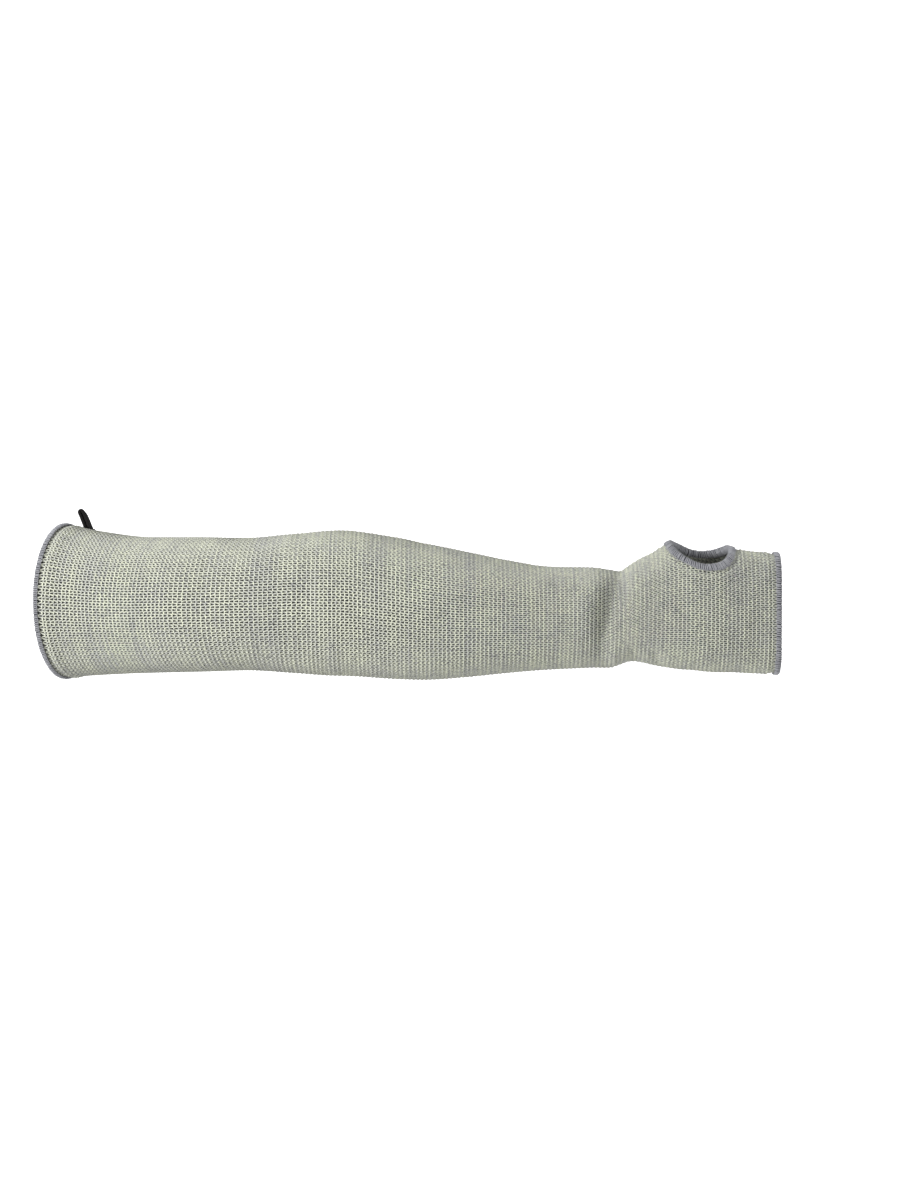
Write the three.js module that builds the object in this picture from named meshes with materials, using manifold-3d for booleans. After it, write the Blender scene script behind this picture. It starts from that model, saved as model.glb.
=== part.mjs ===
// Cut resistant sleeve with a thumb hole: one knitted tube, wide at the arm opening and narrow at the finger
// opening, in the form that it has when worn, with stitched edge bindings and a folded pull tab.
// Millimetres, +Z up. The finger opening is at +X, the palm side faces -Y and the thumb hole is at the top, +Z.
// The origin is the middle of the arm opening.
import * as THREE from "three";
import { mergeVertices } from "three/addons/utils/BufferGeometryUtils.js";
import Module from "manifold-3d";

const wasm = await Module();
wasm.setup();

// The sleeve: length along its middle line from edge to edge, and the knitted wall.
const sleeveLength = 508;
const wallThickness = 2.2;

// Outer height (along Z) and depth (along Y) of the sleeve at six places along it.
const cuffHeight = 109;
const cuffDepth = 102;
const upperArmHeight = 95.5;
const upperArmDepth = 97;
const forearmHeight = 101.3;
const forearmDepth = 90;
const wristHeight = 70;
const wristDepth = 54;
const palmHeight = 93;
const palmDepth = 53;
const knuckleHeight = 82.6;
const knuckleDepth = 35.5;

// The sleeve is a little bent at its elbow: the upper part leans back by this many degrees. The bend has its
// middle this far from the arm opening, and is spread over this length.
const elbowFlex = 16.5;
const elbowFromOpening = 140;
const elbowBendLength = 86;

// The thumb hole, cut in the fabric: its size along and round the sleeve, how far its middle is from the finger
// opening, and how far it is from the top of the sleeve towards the palm side.
const thumbHoleLength = 42;
const thumbHoleWidth = 52;
const thumbFromFingers = 56;
const thumbTowardsPalm = 6;

// Edge bindings: overlock stitching round each raw edge, how thick it lies, its clearance to the fabric inside
// it, which is wider where it follows the sharp curve round the thumb hole, and its reach over the fabric.
const bindingThickness = 0.8;
const bindingGap = 0.4;
const thumbBindingGap = 0.65;
const armBindingReach = 4;
const fingerBindingReach = 4.8;
const thumbBindingReach = 6;

// The pull tab: a black tape folded double into a loop, with a foot sewn down behind the top of the arm end.
// It leans towards the arm opening by this many degrees.
const tapeWidth = 10;
const tapeThickness = 1.5;
const tabSlit = 1.4;
const tabLength = 18.3;
const tabFootLength = 9;
const tabLean = 30;
const tabFromOpening = 10;
const tabBehindTop = 20;
const tabGap = 0.35;

// How finely the surfaces are divided.
const columnsRound = 36;
const columnsThumb = 40;
const hoopsInPlug = 3;
const stepsInBend = 3;

const girths = {
  cuff: { height: cuffHeight, depth: cuffDepth },
  upperArm: { height: upperArmHeight, depth: upperArmDepth },
  forearm: { height: forearmHeight, depth: forearmDepth },
  wrist: { height: wristHeight, depth: wristDepth },
  palm: { height: palmHeight, depth: palmDepth },
  knuckles: { height: knuckleHeight, depth: knuckleDepth },
};

// The sections along the sleeve. at: share of the sleeve's length. height, lift: shares of that girth's height.
// depth, back: shares of its depth; back moves the section away from the palm side. square: 2 is an ellipse.
const sections = [
  { at: 0, girth: "cuff", height: 1, depth: 1, lift: 0, back: 0, square: 2 },
  { at: 0.054, girth: "upperArm", height: 1.067, depth: 1.01, lift: -0.015, back: 0, square: 2 },
  { at: 0.13, girth: "upperArm", height: 1, depth: 1, lift: -0.029, back: 0, square: 2 },
  { at: 0.2, girth: "upperArm", height: 0.987, depth: 0.99, lift: -0.025, back: 0.01, square: 2.05 },
  { at: 0.275, girth: "upperArm", height: 0.969, depth: 0.96, lift: -0.022, back: 0.025, square: 2.1 },
  { at: 0.331, girth: "forearm", height: 0.953, depth: 1.022, lift: -0.017, back: 0.02, square: 2.1 },
  { at: 0.4, girth: "forearm", height: 1, depth: 1, lift: -0.014, back: 0, square: 2.1 },
  { at: 0.468, girth: "forearm", height: 0.979, depth: 0.956, lift: -0.044, back: 0, square: 2.1 },
  { at: 0.522, girth: "forearm", height: 0.932, depth: 0.9, lift: -0.075, back: 0, square: 2.1 },
  { at: 0.577, girth: "forearm", height: 0.857, depth: 0.822, lift: -0.093, back: 0, square: 2.1 },
  { at: 0.632, girth: "forearm", height: 0.774, depth: 0.733, lift: -0.107, back: 0, square: 2.15 },
  { at: 0.686, girth: "wrist", height: 1.031, depth: 1.093, lift: -0.169, back: 0, square: 2.2 },
  { at: 0.741, girth: "wrist", height: 1.005, depth: 1, lift: -0.164, back: 0, square: 2.25 },
  { at: 0.771, girth: "wrist", height: 0.977, depth: 0.963, lift: -0.176, back: 0, square: 2.25 },
  { at: 0.782, girth: "wrist", height: 0.935, depth: 0.926, lift: -0.167, back: 0, square: 2.25 },
  { at: 0.793, girth: "wrist", height: 0.961, depth: 0.926, lift: -0.124, back: 0, square: 2.2 },
  { at: 0.809, girth: "wrist", height: 1.036, depth: 0.944, lift: -0.091, back: 0, square: 2.2 },
  { at: 0.826, girth: "palm", height: 0.845, depth: 0.981, lift: -0.058, back: 0, square: 2.2 },
  { at: 0.847, girth: "palm", height: 0.935, depth: 1, lift: -0.032, back: 0, square: 2.2 },
  { at: 0.871, girth: "palm", height: 0.99, depth: 1, lift: -0.02, back: 0, square: 2.2 },
  { at: 0.898, girth: "palm", height: 0.992, depth: 0.962, lift: -0.033, back: 0.01, square: 2.25 },
  { at: 0.94, girth: "palm", height: 0.926, depth: 0.83, lift: -0.074, back: 0.025, square: 2.35 },
  { at: 0.973, girth: "knuckles", height: 1.029, depth: 1.07, lift: -0.099, back: 0.045, square: 2.5 },
  { at: 1, girth: "knuckles", height: 1, depth: 1, lift: -0.105, back: 0.05, square: 2.6 },
];

// Folds and hollows of the worn fabric. at: share of the sleeve's length, half way up the palm side.
// slant, curl: how the fold's line runs towards the finger end with height, as shares of the wrist's height.
// middle, reach: where up the side it is strongest, and how far it reaches, from -1 (bottom) to 1 (top).
// push: outwards, in wall thicknesses. width: share of the sleeve's length. behind: its strength on the back.
// The last two rows are the swellings below the thumb hole and along the lower edge of the palm side.
const folds = [
  { at: 0.761, slant: 0.095, curl: 0.07, middle: -0.05, reach: 0.95, push: -1.6, width: 0.0125, behind: 0.25 },
  { at: 0.735, slant: 0.09, curl: 0.06, middle: 0.15, reach: 0.8, push: 0.9, width: 0.018, behind: 0.25 },
  { at: 0.793, slant: 0.1, curl: 0.08, middle: -0.2, reach: 0.9, push: 0.6, width: 0.018, behind: 0.25 },
  { at: 0.222, slant: 0, curl: 0, middle: 0.4, reach: 0.5, push: -0.7, width: 0.045, behind: 0 },
  { at: 0.343, slant: 0, curl: 0, middle: -0.45, reach: 0.45, push: -0.55, width: 0.036, behind: 0 },
  { at: 0.4, slant: 0, curl: 0, middle: 0.2, reach: 0.5, push: 0.4, width: 0.045, behind: 0 },
  { at: 0.86, slant: 0, curl: 0, middle: 0.5, reach: 0.45, push: 0.9, width: 0.05, behind: 0 },
  { at: 0.88, slant: 0, curl: 0, middle: -0.6, reach: 0.35, push: 0.7, width: 0.055, behind: 0 },
];

// Lengths of the fabric's faces along the sleeve, finer where it folds at the wrist, as shares of its length.
const faceLengths = [
  { to: 0.7, length: 0.036 },
  { to: 0.87, length: 0.01 },
  { to: 1, length: 0.0125 },
];

const fabricMaterial = new THREE.MeshStandardMaterial({ color: 0xadafa2, roughness: 0.95, metalness: 0 });
const bindingMaterial = new THREE.MeshStandardMaterial({ color: 0x85868c, roughness: 0.85, metalness: 0 });
const tabMaterial = new THREE.MeshStandardMaterial({ color: 0x151313, roughness: 0.9, metalness: 0 });

// A smooth curve through a table's values that doesn't overshoot them.
function through(rows, value, share) {
  const last = rows.length - 1;
  const at = THREE.MathUtils.clamp(share, rows[0].at, rows[last].at);
  const i = Math.min(rows.filter((row) => row.at <= at).length - 1, last - 1);
  const rise = (k) => (value(rows[k + 1]) - value(rows[k])) / (rows[k + 1].at - rows[k].at);
  const slope = (k) => {
    if (k === 0) return rise(0);
    if (k === last) return rise(last - 1);
    const product = rise(k - 1) * rise(k);
    return product <= 0 ? 0 : (2 * product) / (rise(k - 1) + rise(k));
  };
  const span = rows[i + 1].at - rows[i].at;
  const t = (at - rows[i].at) / span;
  const rest = 1 - t;
  const ends = value(rows[i]) * (1 + 2 * t) * rest * rest + value(rows[i + 1]) * (3 - 2 * t) * t * t;
  return ends + span * t * rest * (slope(i) * rest - slope(i + 1) * t);
}

function sectionAt(station) {
  const share = station / sleeveLength;
  return {
    halfHeight: through(sections, (row) => row.height * girths[row.girth].height, share) / 2,
    halfDepth: through(sections, (row) => row.depth * girths[row.girth].depth, share) / 2,
    lift: through(sections, (row) => row.lift * girths[row.girth].height, share),
    back: through(sections, (row) => row.back * girths[row.girth].depth, share),
    square: through(sections, (row) => row.square, share),
  };
}

// The middle line of the sleeve at a station: straight, then an arc at the elbow, then straight along +X.
function armLine(station) {
  const flex = THREE.MathUtils.degToRad(elbowFlex);
  const radius = elbowBendLength / flex;
  const bendStart = elbowFromOpening - elbowBendLength / 2;
  const bent = THREE.MathUtils.clamp(station - bendStart, 0, elbowBendLength);
  const heading = flex * (1 - bent / elbowBendLength);
  const upper = Math.min(station, bendStart);
  const lower = Math.max(station - bendStart - elbowBendLength, 0);
  const x = upper * Math.cos(flex) + radius * (Math.sin(flex) - Math.sin(heading)) + lower;
  const y = -upper * Math.sin(flex) - radius * (Math.cos(heading) - Math.cos(flex));
  return {
    point: new THREE.Vector3(x, y, 0),
    back: new THREE.Vector3(Math.sin(heading), Math.cos(heading), 0),
  };
}

// How far the folds push the fabric outwards at a place.
function foldAt(station, angle) {
  const high = Math.cos(angle);
  const front = Math.sin(angle);
  return folds.reduce((sum, fold) => {
    const line = fold.at * sleeveLength + (fold.slant * high + fold.curl * high * high) * wristHeight;
    const along = (station - line) / (fold.width * sleeveLength);
    const across = (high - fold.middle) / fold.reach;
    const side = front > 0 ? front : -front * fold.behind;
    return sum + fold.push * wallThickness * side * Math.exp(-along * along - across * across);
  }, 0);
}

function signedPower(value, power) {
  return Math.sign(value) * Math.abs(value) ** power;
}

// A point of the sleeve. station: distance along it from the arm opening. angle: 0 at the top, then by the palm
// side to the bottom. outward: distance outside the fabric's outer face.
function skin(station, angle, outward) {
  const section = sectionAt(station);
  const up = signedPower(Math.cos(angle), 2 / section.square);
  const front = signedPower(Math.sin(angle), 2 / section.square);
  const normalUp = signedPower(up, section.square - 1) / section.halfHeight;
  const normalFront = signedPower(front, section.square - 1) / section.halfDepth;
  const push = (outward + foldAt(station, angle)) / Math.hypot(normalUp, normalFront);
  const high = section.lift + up * section.halfHeight + normalUp * push;
  const across = section.back - front * section.halfDepth - normalFront * push;
  const arm = armLine(station);
  return arm.point.addScaledVector(arm.back, across).add(new THREE.Vector3(0, 0, high));
}

// The angle of a place this far round the outer face from the top, towards the palm side.
function angleAtArc(station, arc) {
  const step = Math.sign(arc) * THREE.MathUtils.degToRad(1);
  let angle = 0;
  let left = Math.abs(arc);
  let last = skin(station, angle, 0);
  while (left > 0) {
    const next = skin(station, angle + step, 0);
    const length = next.distanceTo(last);
    angle += step * Math.min(left / length, 1);
    left -= length;
    last = next;
  }
  return angle;
}

function geometryFrom(positions, index) {
  const geometry = new THREE.BufferGeometry();
  geometry.setAttribute("position", new THREE.Float32BufferAttribute(positions, 3));
  geometry.setIndex(index);
  geometry.computeVertexNormals();
  return geometry;
}

// A closed profile carried round a closed loop. place gives the point of one of its spots at a turn of the loop.
function ringGeometry(columns, profile, place) {
  const positions = [];
  const index = [];
  const corner = (column, k) => (column % columns) * profile.length + (k % profile.length);
  for (let column = 0; column < columns; column += 1) {
    profile.forEach((spot, k) => {
      positions.push(...place((2 * Math.PI * column) / columns, spot));
      index.push(corner(column, k), corner(column + 1, k), corner(column + 1, k + 1));
      index.push(corner(column, k), corner(column + 1, k + 1), corner(column, k + 1));
    });
  }
  return geometryFrom(positions, index);
}

// The solid of a closed surface. Faces that lose a corner where a profile meets its axis are left out.
function solidOf(geometry) {
  const bare = geometry.clone();
  bare.deleteAttribute("normal");
  const merged = mergeVertices(bare);
  const corners = Array.from(merged.index.array);
  const faces = [];
  for (let i = 0; i < corners.length; i += 3) {
    const face = corners.slice(i, i + 3);
    if (new Set(face).size === 3) faces.push(...face);
  }
  const vertProperties = new Float32Array(merged.attributes.position.array);
  return new wasm.Manifold(new wasm.Mesh({ numProp: 3, vertProperties, triVerts: new Uint32Array(faces) }));
}

// The place at a turn round the thumb hole, on an oval of this length and width about its middle.
function thumbOval(turn, length, width, outward) {
  const station = sleeveLength - thumbFromFingers + (length / 2) * Math.cos(turn);
  const arc = thumbTowardsPalm + (width / 2) * Math.sin(turn);
  return skin(station, angleAtArc(station, arc), outward);
}

// A plug the size of the thumb hole, which stands proud of the fabric's outer and inner faces.
function thumbPlug() {
  const proud = 2 * wallThickness;
  const shares = Array.from({ length: hoopsInPlug + 1 }, (_, k) => k / hoopsInPlug);
  const profile = [
    ...shares.map((share) => ({ share, outward: proud })),
    ...shares.map((share) => ({ share, outward: -wallThickness - proud })).reverse(),
  ];
  const place = (turn, spot) =>
    thumbOval(turn, spot.share * thumbHoleLength, spot.share * thumbHoleWidth, spot.outward);
  return ringGeometry(columnsThumb, profile, place);
}

// The fabric's cut ends lie this far inside the finished edges of the two openings.
const cutInset = bindingGap + bindingThickness;

function fabricStations() {
  const stations = [cutInset, armBindingReach];
  const ends = faceLengths.map((zone) => zone.to * sleeveLength);
  ends[ends.length - 1] = sleeveLength - fingerBindingReach;
  ends.forEach((end, zone) => {
    const start = stations[stations.length - 1];
    const count = Math.max(Math.round((end - start) / (faceLengths[zone].length * sleeveLength)), 1);
    for (let k = 1; k <= count; k += 1) stations.push(start + ((end - start) * k) / count);
  });
  return [...stations, sleeveLength - cutInset];
}

// The knitted tube, open at both ends, with the thumb hole cut through it.
function knitSleeve() {
  const stations = fabricStations();
  const profile = [
    ...stations.map((station) => ({ station, outward: 0 })),
    ...stations.map((station) => ({ station, outward: -wallThickness })).reverse(),
  ];
  const tube = ringGeometry(columnsRound, profile, (turn, spot) => skin(spot.station, turn, spot.outward));
  const { vertProperties, triVerts } = solidOf(tube).subtract(solidOf(thumbPlug())).getMesh();
  return geometryFrom(Array.from(vertProperties), Array.from(triVerts));
}

// Stitching wrapped round a cut edge: a round end, and a leaf over each face of the fabric. inward: distance from
// the finished edge into the fabric.
function bindingProfile(reach, gap) {
  const cap = gap + bindingThickness;
  const bend = Array.from({ length: stepsInBend + 1 }, (_, k) => {
    const angle = Math.PI * (k / stepsInBend - 0.5);
    const outward = (wallThickness / 2 + cap) * Math.sin(angle) - wallThickness / 2;
    return { inward: cap * (1 - Math.cos(angle)), outward };
  });
  return [
    ...bend,
    { inward: reach, outward: cap },
    { inward: reach, outward: gap },
    { inward: bindingThickness, outward: gap },
    { inward: bindingThickness, outward: -wallThickness - gap },
    { inward: reach, outward: -wallThickness - gap },
    { inward: reach, outward: -wallThickness - cap },
  ];
}

function armBinding() {
  const place = (turn, spot) => skin(spot.inward, turn, spot.outward);
  return ringGeometry(columnsRound, bindingProfile(armBindingReach, bindingGap), place);
}

function fingerBinding() {
  const place = (turn, spot) => skin(sleeveLength - spot.inward, turn, spot.outward);
  return ringGeometry(columnsRound, bindingProfile(fingerBindingReach, bindingGap).reverse(), place);
}

function thumbBinding() {
  const place = (turn, spot) => {
    const wider = 2 * (spot.inward - thumbBindingGap - bindingThickness);
    return thumbOval(turn, thumbHoleLength + wider, thumbHoleWidth + wider, spot.outward);
  };
  return ringGeometry(columnsThumb, bindingProfile(thumbBindingReach, thumbBindingGap), place);
}

// The folded tape's outline, seen along its width: x runs towards the finger end, y away from the fabric.
function tabOutline() {
  const lean = THREE.MathUtils.degToRad(tabLean);
  const along = new THREE.Vector2(-Math.sin(lean), Math.cos(lean));
  const side = new THREE.Vector2(Math.cos(lean), Math.sin(lean));
  const halfThickness = tapeThickness + tabSlit / 2;
  const at = (distance, aside) => along.clone().multiplyScalar(distance).addScaledVector(side, aside);
  const meetsFoot = (aside) => at((tapeThickness - side.y * aside) / along.y, aside);
  const fold = at(tabLength - halfThickness, 0);
  const outline = new THREE.Shape();
  outline.moveTo(-tabFootLength / 2, 0);
  outline.lineTo(tabFootLength / 2, 0);
  outline.lineTo(tabFootLength / 2, tapeThickness);
  outline.lineTo(meetsFoot(halfThickness).x, meetsFoot(halfThickness).y);
  outline.absarc(fold.x, fold.y, halfThickness, lean, lean + Math.PI);
  outline.lineTo(meetsFoot(-halfThickness).x, meetsFoot(-halfThickness).y);
  outline.lineTo(-tabFootLength / 2, tapeThickness);
  const root = at(2 * tapeThickness, 0);
  const slit = new THREE.Path();
  slit.absarc(fold.x, fold.y, tabSlit / 2, lean, lean + Math.PI);
  slit.absarc(root.x, root.y, tabSlit / 2, lean + Math.PI, lean + 2 * Math.PI);
  outline.holes.push(slit);
  return outline;
}

function pullTab() {
  const options = { depth: tapeWidth, steps: 1, bevelEnabled: false, curveSegments: 6 };
  return new THREE.ExtrudeGeometry(tabOutline(), options).translate(0, 0, -tapeWidth / 2);
}

// Where the tab's foot is sewn on: x along the sleeve towards the finger end, y out of the fabric.
function tabPlace() {
  const nudge = 1;
  const angle = angleAtArc(tabFromOpening, -tabBehindTop);
  const seat = skin(tabFromOpening, angle, 0);
  const alongArm = skin(tabFromOpening + nudge, angle, 0).sub(seat).normalize();
  const round = skin(tabFromOpening, angleAtArc(tabFromOpening, -tabBehindTop - nudge), 0).sub(seat);
  const outward = alongArm.clone().cross(round).normalize();
  const place = new THREE.Matrix4().makeBasis(alongArm, outward, alongArm.clone().cross(outward));
  return place.setPosition(seat.addScaledVector(outward, tabGap));
}

function addPiece(group, name, geometry, material) {
  const piece = new THREE.Mesh(geometry, material);
  piece.name = name;
  group.add(piece);
  return piece;
}

const sleeve = new THREE.Group();
addPiece(sleeve, "knit_sleeve", knitSleeve(), fabricMaterial);
addPiece(sleeve, "arm_opening_binding", armBinding(), bindingMaterial);
addPiece(sleeve, "finger_opening_binding", fingerBinding(), bindingMaterial);
addPiece(sleeve, "thumb_hole_binding", thumbBinding(), bindingMaterial);
addPiece(sleeve, "pull_tab", pullTab(), tabMaterial).applyMatrix4(tabPlace());

export default sleeve;
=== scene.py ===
import math

import bpy
import bmesh
import numpy as np
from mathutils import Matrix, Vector


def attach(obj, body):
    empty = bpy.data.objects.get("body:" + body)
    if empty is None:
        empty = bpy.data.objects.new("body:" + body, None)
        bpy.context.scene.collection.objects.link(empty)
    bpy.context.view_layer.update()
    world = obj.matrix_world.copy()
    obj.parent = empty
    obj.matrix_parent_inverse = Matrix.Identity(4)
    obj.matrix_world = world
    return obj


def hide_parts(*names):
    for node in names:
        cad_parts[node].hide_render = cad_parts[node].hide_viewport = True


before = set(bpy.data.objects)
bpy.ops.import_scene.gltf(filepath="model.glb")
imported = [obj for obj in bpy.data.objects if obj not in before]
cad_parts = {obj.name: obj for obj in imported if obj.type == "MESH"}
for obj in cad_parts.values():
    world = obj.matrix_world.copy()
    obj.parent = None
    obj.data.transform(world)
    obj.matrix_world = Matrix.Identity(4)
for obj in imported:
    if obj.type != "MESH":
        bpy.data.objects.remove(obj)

scene = bpy.context.scene
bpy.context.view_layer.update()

# The worn form, the same as the frame's solids have.
form = {
    "length": 0.508,
    "wall": 0.0022,
    "elbowFlex": math.radians(16.5),
    "elbowFromOpening": 0.140,
    "elbowBendLength": 0.086,
    "foldSpread": 0.7,  # below 1, so that a fold stays deep further round from the palm side
}
girths = {  # outer height and depth of the sleeve at six places along it
    "cuff": (0.109, 0.102),
    "upperArm": (0.0955, 0.097),
    "forearm": (0.1013, 0.090),
    "wrist": (0.070, 0.054),
    "palm": (0.093, 0.053),
    "knuckles": (0.0826, 0.0355),
}
# Shares of the sleeve's length, and of the height and depth of the girth that each row names.
sectionColumns = ("at", "girth", "height", "depth", "lift", "back", "square")
sectionRows = [
    (0, "cuff", 1, 1, 0, 0, 2),
    (0.054, "upperArm", 1.067, 1.01, -0.015, 0, 2),
    (0.13, "upperArm", 1, 1, -0.029, 0, 2),
    (0.2, "upperArm", 0.987, 0.99, -0.025, 0.01, 2.05),
    (0.275, "upperArm", 0.969, 0.96, -0.022, 0.025, 2.1),
    (0.331, "forearm", 0.953, 1.022, -0.017, 0.02, 2.1),
    (0.4, "forearm", 1, 1, -0.014, 0, 2.1),
    (0.468, "forearm", 0.979, 0.956, -0.044, 0, 2.1),
    (0.522, "forearm", 0.932, 0.9, -0.075, 0, 2.1),
    (0.577, "forearm", 0.857, 0.822, -0.093, 0, 2.1),
    (0.632, "forearm", 0.774, 0.733, -0.107, 0, 2.15),
    (0.686, "wrist", 1.031, 1.093, -0.169, 0, 2.2),
    (0.741, "wrist", 1.005, 1, -0.164, 0, 2.25),
    (0.771, "wrist", 0.977, 0.963, -0.176, 0, 2.25),
    (0.782, "wrist", 0.935, 0.926, -0.167, 0, 2.25),
    (0.793, "wrist", 0.961, 0.926, -0.124, 0, 2.2),
    (0.809, "wrist", 1.036, 0.944, -0.091, 0, 2.2),
    (0.826, "palm", 0.845, 0.981, -0.058, 0, 2.2),
    (0.847, "palm", 0.935, 1, -0.032, 0, 2.2),
    (0.871, "palm", 0.99, 1, -0.02, 0, 2.2),
    (0.898, "palm", 0.992, 0.962, -0.033, 0.01, 2.25),
    (0.94, "palm", 0.926, 0.83, -0.074, 0.025, 2.35),
    (0.973, "knuckles", 1.029, 1.07, -0.099, 0.045, 2.5),
    (1, "knuckles", 1, 1, -0.105, 0.05, 2.6),
]
# Folds and hollows: push in wall thicknesses, slant and curl in wrist heights. The wrist's are sharper than
# the solid's, and one small crease at its lower edge is added.
foldColumns = ("at", "slant", "curl", "middle", "reach", "push", "width", "behind")
foldRows = [
    (0.761, 0.095, 0.07, 0.15, 0.95, -3.2, 0.0132, 0.25),
    (0.731, 0.09, 0.06, 0.35, 0.7, 1.5, 0.018, 0.25),
    (0.808, 0.08, 0.06, -0.1, 0.8, 1.1, 0.022, 0.25),
    (0.806, -0.2, 0, -0.85, 0.16, -1.0, 0.008, 0.25),
    (0.222, 0, 0, 0.4, 0.5, -0.7, 0.045, 0),
    (0.343, 0, 0, -0.45, 0.45, -0.55, 0.036, 0),
    (0.4, 0, 0, 0.2, 0.5, 0.4, 0.045, 0),
    (0.86, 0, 0, 0.5, 0.45, 0.9, 0.05, 0),
    (0.88, 0, 0, -0.6, 0.35, 0.7, 0.055, 0),
]
thumbHole = {"length": 0.042, "width": 0.052, "fromFingers": 0.056, "towardsPalm": 0.006}

sections = [dict(zip(sectionColumns, row)) for row in sectionRows]
folds = [dict(zip(foldColumns, row)) for row in foldRows]


def through(values, share):
    # a smooth curve through a column of the table, which doesn't overshoot it
    at = np.array([row["at"] for row in sections], float)
    values = np.array(values, float)
    rises = np.diff(values) / np.diff(at)
    product = rises[:-1] * rises[1:]
    total = np.where(product > 0, rises[:-1] + rises[1:], 1)
    slopes = np.concatenate([rises[:1], np.where(product > 0, 2 * product / total, 0), rises[-1:]])
    share = np.clip(share, 0, 1)
    i = np.clip(np.searchsorted(at, share, side="right") - 1, 0, len(at) - 2)
    span = at[i + 1] - at[i]
    t = (share - at[i]) / span
    rest = 1 - t
    ends = values[i] * (1 + 2 * t) * rest**2 + values[i + 1] * (3 - 2 * t) * t**2
    return ends + span * t * rest * (slopes[i] * rest - slopes[i + 1] * t)


def ofHeight(name):
    return [row[name] * girths[row["girth"]][0] for row in sections]


def ofDepth(name):
    return [row[name] * girths[row["girth"]][1] for row in sections]


def middleLine(station):
    # a place on the middle line and its heading: straight, an arc at the elbow, then straight along +X
    flex, bend = form["elbowFlex"], form["elbowBendLength"]
    radius = bend / flex
    start = form["elbowFromOpening"] - bend / 2
    bent = np.clip(station - start, 0, bend)
    heading = flex * (1 - bent / bend)
    upper = np.minimum(station, start)
    lower = np.maximum(station - start - bend, 0)
    x = upper * math.cos(flex) + radius * (math.sin(flex) - np.sin(heading)) + lower
    y = -upper * math.sin(flex) - radius * (np.cos(heading) - math.cos(flex))
    return x, y, heading


def foldAt(station, angle):
    high, front = np.cos(angle), np.sin(angle)
    total = 0
    for fold in folds:
        rise = (fold["slant"] * high + fold["curl"] * high**2) * girths["wrist"][0]
        along = (station - fold["at"] * form["length"] - rise) / (fold["width"] * form["length"])
        across = (high - fold["middle"]) / fold["reach"]
        side = np.where(front > 0, np.abs(front) ** form["foldSpread"], -front * fold["behind"])
        total = total + fold["push"] * form["wall"] * side * np.exp(-(along**2) - across**2)
    return total


def signedPower(value, power):
    return np.sign(value) * np.abs(value) ** power


def skin(station, angle, outward):
    # station: from the arm opening; angle: 0 at the top, then by the palm side; outward: from the outer face
    station, angle, outward = np.broadcast_arrays(*(np.asarray(a, float) for a in (station, angle, outward)))
    share = station / form["length"]
    halfHeight = through(ofHeight("height"), share) / 2
    halfDepth = through(ofDepth("depth"), share) / 2
    square = through([row["square"] for row in sections], share)
    up = signedPower(np.cos(angle), 2 / square)
    front = signedPower(np.sin(angle), 2 / square)
    normalUp = signedPower(up, square - 1) / halfHeight
    normalFront = signedPower(front, square - 1) / halfDepth
    push = (outward + foldAt(station, angle)) / np.hypot(normalUp, normalFront)
    high = through(ofHeight("lift"), share) + up * halfHeight + normalUp * push
    across = through(ofDepth("back"), share) - front * halfDepth - normalFront * push
    x, y, heading = middleLine(station)
    return np.stack([x + np.sin(heading) * across, y + np.cos(heading) * across, high], axis=-1)


def arcsFromTop(station, angles):
    # distances round the outer face from the top, one row for each station; angles are in order and hold 0
    points = skin(np.asarray(station)[:, None], angles[None, :], 0)
    steps = np.linalg.norm(np.diff(points, axis=1), axis=2)
    arcs = np.concatenate([np.zeros((len(points), 1)), np.cumsum(steps, axis=1)], axis=1)
    top = int(np.argmin(np.abs(angles)))
    return arcs - arcs[:, top : top + 1]


def angleAtArc(station, arc):
    # the angle of a place this far round from the top, read from a table of whole degrees
    angles = np.radians(np.arange(-110, 111))
    flatStation, flatArc = np.ravel(station), np.ravel(arc)
    table = arcsFromTop(flatStation, angles)
    found = [np.interp(a, row, angles) for a, row in zip(flatArc, table)]
    return np.reshape(found, np.shape(arc))


def thumbOval(turn, wider, outward):
    # a place on an oval round the thumb hole, this much wider all round than the cut in the fabric
    turn, wider, outward = np.broadcast_arrays(turn, wider, outward)
    middle = form["length"] - thumbHole["fromFingers"]
    station = middle + (thumbHole["length"] / 2 + wider) * np.cos(turn)
    arc = thumbHole["towardsPalm"] + (thumbHole["width"] / 2 + wider) * np.sin(turn)
    return skin(station, angleAtArc(station, arc), outward)


def fromThumbHole(station, arc):
    # about how far a place lies outside the thumb hole's cut edge
    a, b = thumbHole["length"] / 2, thumbHole["width"] / 2
    x = station - form["length"] + thumbHole["fromFingers"]
    y = arc - thumbHole["towardsPalm"]
    size = np.hypot(x / a, y / b)
    slope = np.maximum(np.hypot(x / a**2, y / b**2), 1e-6)
    return (size - 1) * size / slope


def placed(name, data):
    piece = bpy.data.objects.new(name, data)
    scene.collection.objects.link(piece)
    return piece


def mapOn(mesh, name, uv):
    layer = mesh.uv_layers.new(name=name)
    layer.data.foreach_set("uv", np.ravel(uv).astype(np.float32))


def markOn(mesh, name, values, kind="FLOAT"):
    store = mesh.attributes.new(name, kind, "POINT")
    store.data.foreach_set("value" if kind == "FLOAT" else "vector", np.ravel(values).astype(np.float32))


def meshOf(name, points, faces, uv=None):
    mesh = bpy.data.meshes.new(name)
    mesh.from_pydata(np.reshape(points, (-1, 3)).tolist(), [], faces)
    if uv is not None:
        mapOn(mesh, "OFBake", uv)
    mesh.shade_smooth()
    return placed(name, mesh)


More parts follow.
